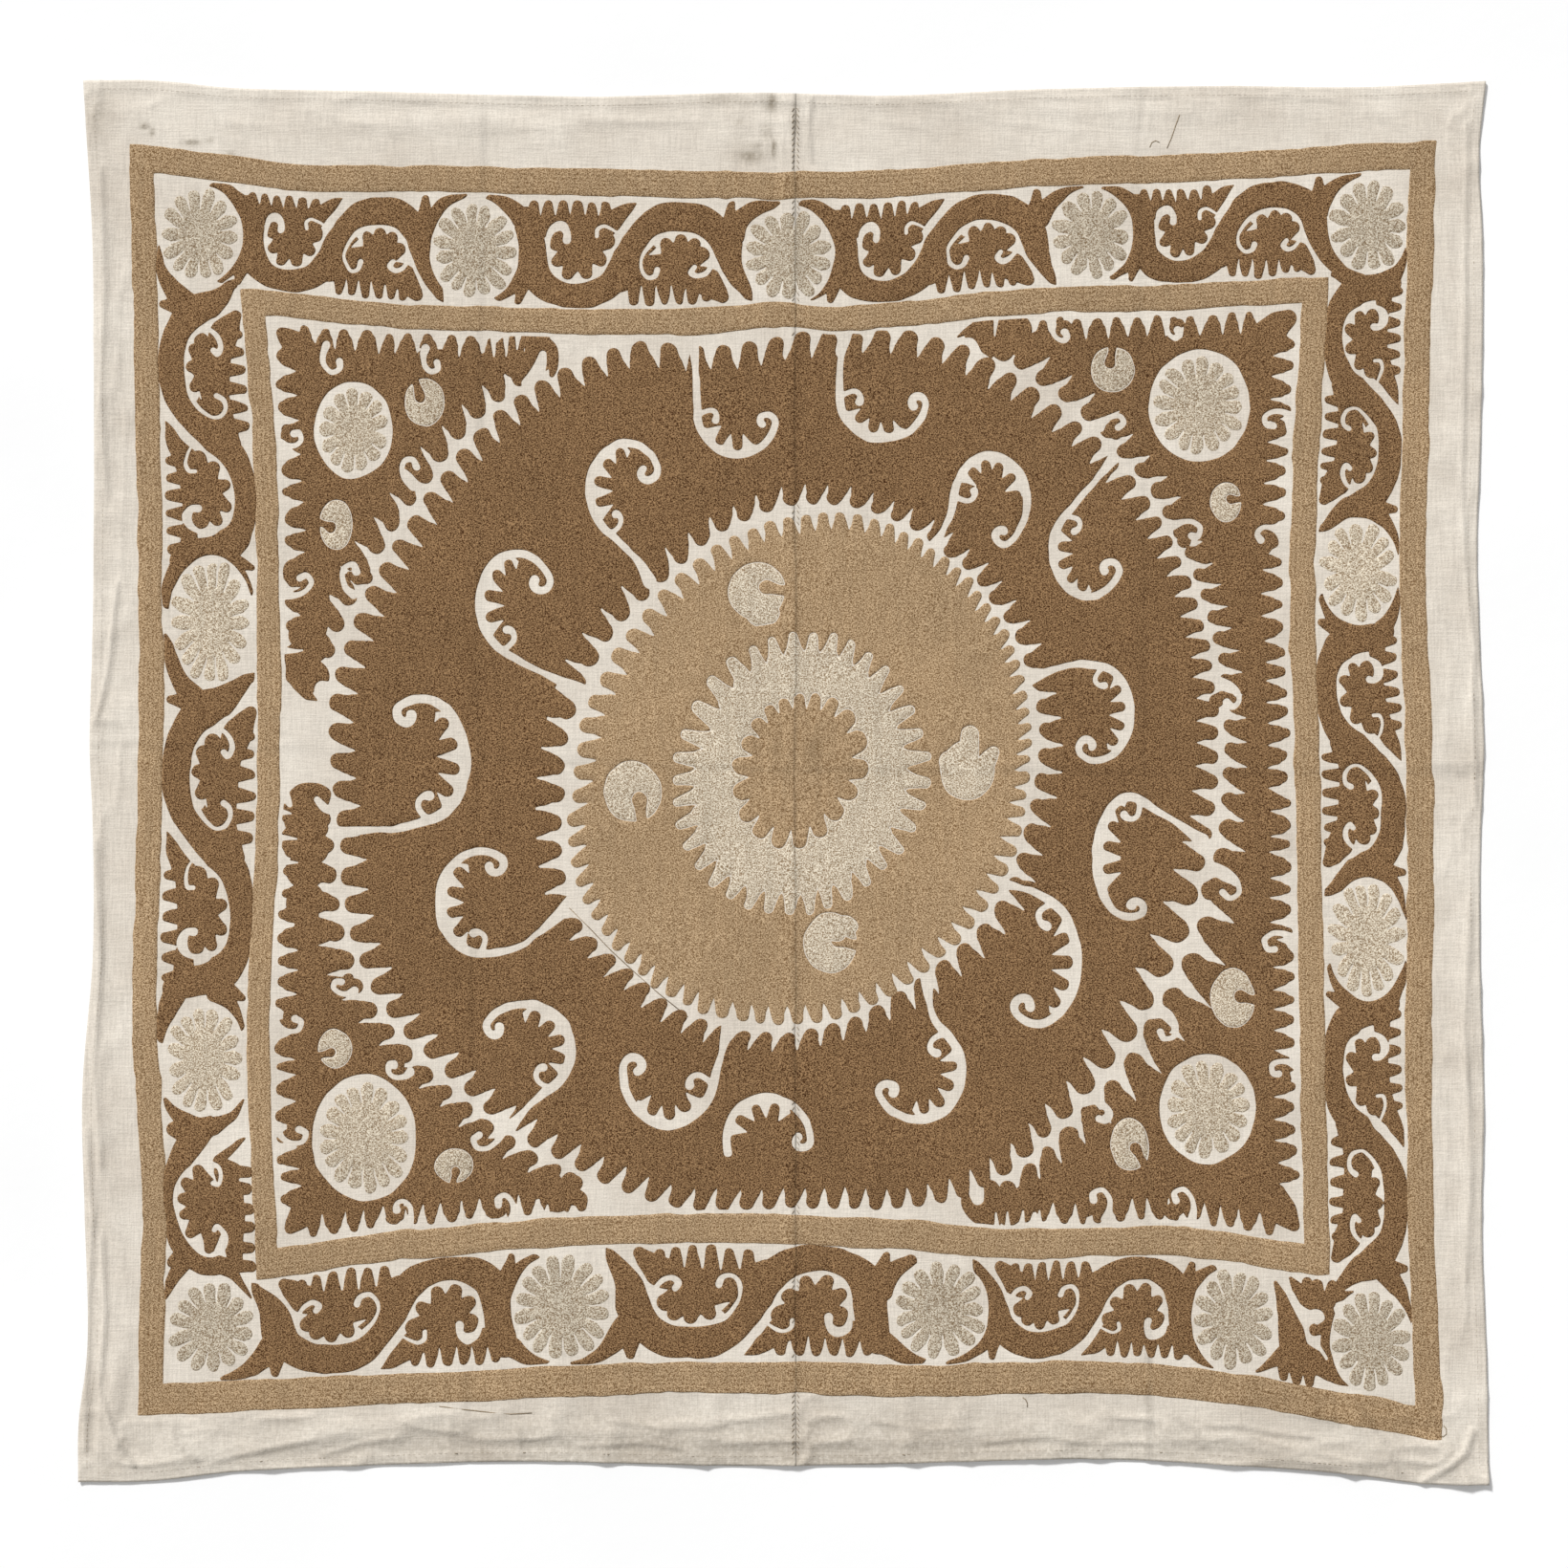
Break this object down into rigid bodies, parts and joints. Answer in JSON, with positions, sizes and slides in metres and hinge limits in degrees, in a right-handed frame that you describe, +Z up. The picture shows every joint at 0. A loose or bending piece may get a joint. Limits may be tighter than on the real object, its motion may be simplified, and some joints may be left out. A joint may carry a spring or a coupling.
{
  "type": "embroidered tablecloth",
  "caption": "Square hemmed tablecloth of joined loom widths, laid flat, with a raised embroidered medallion, corner fields, bands and a leafy rosette border.",
  "frame": {"origin": "under the middle of the cloth, on the surface that it lies on", "axes": "+Z up out of the embroidered face, +Y towards the top of the design, +X to its right"},
  "size_m": [1.4745, 1.4685, 0.0059],
  "materials": {
    "linen": "washed plain weave",
    "yarn_brown": "chain stitch",
    "yarn_tan": "chain stitch",
    "yarn_cream": "chain stitch",
    "thread": "sewing thread"
  },
  "bodies": {
    "root": {"panel_left": "linen", "panel_right": "linen"}
  },
  "joints": []
}
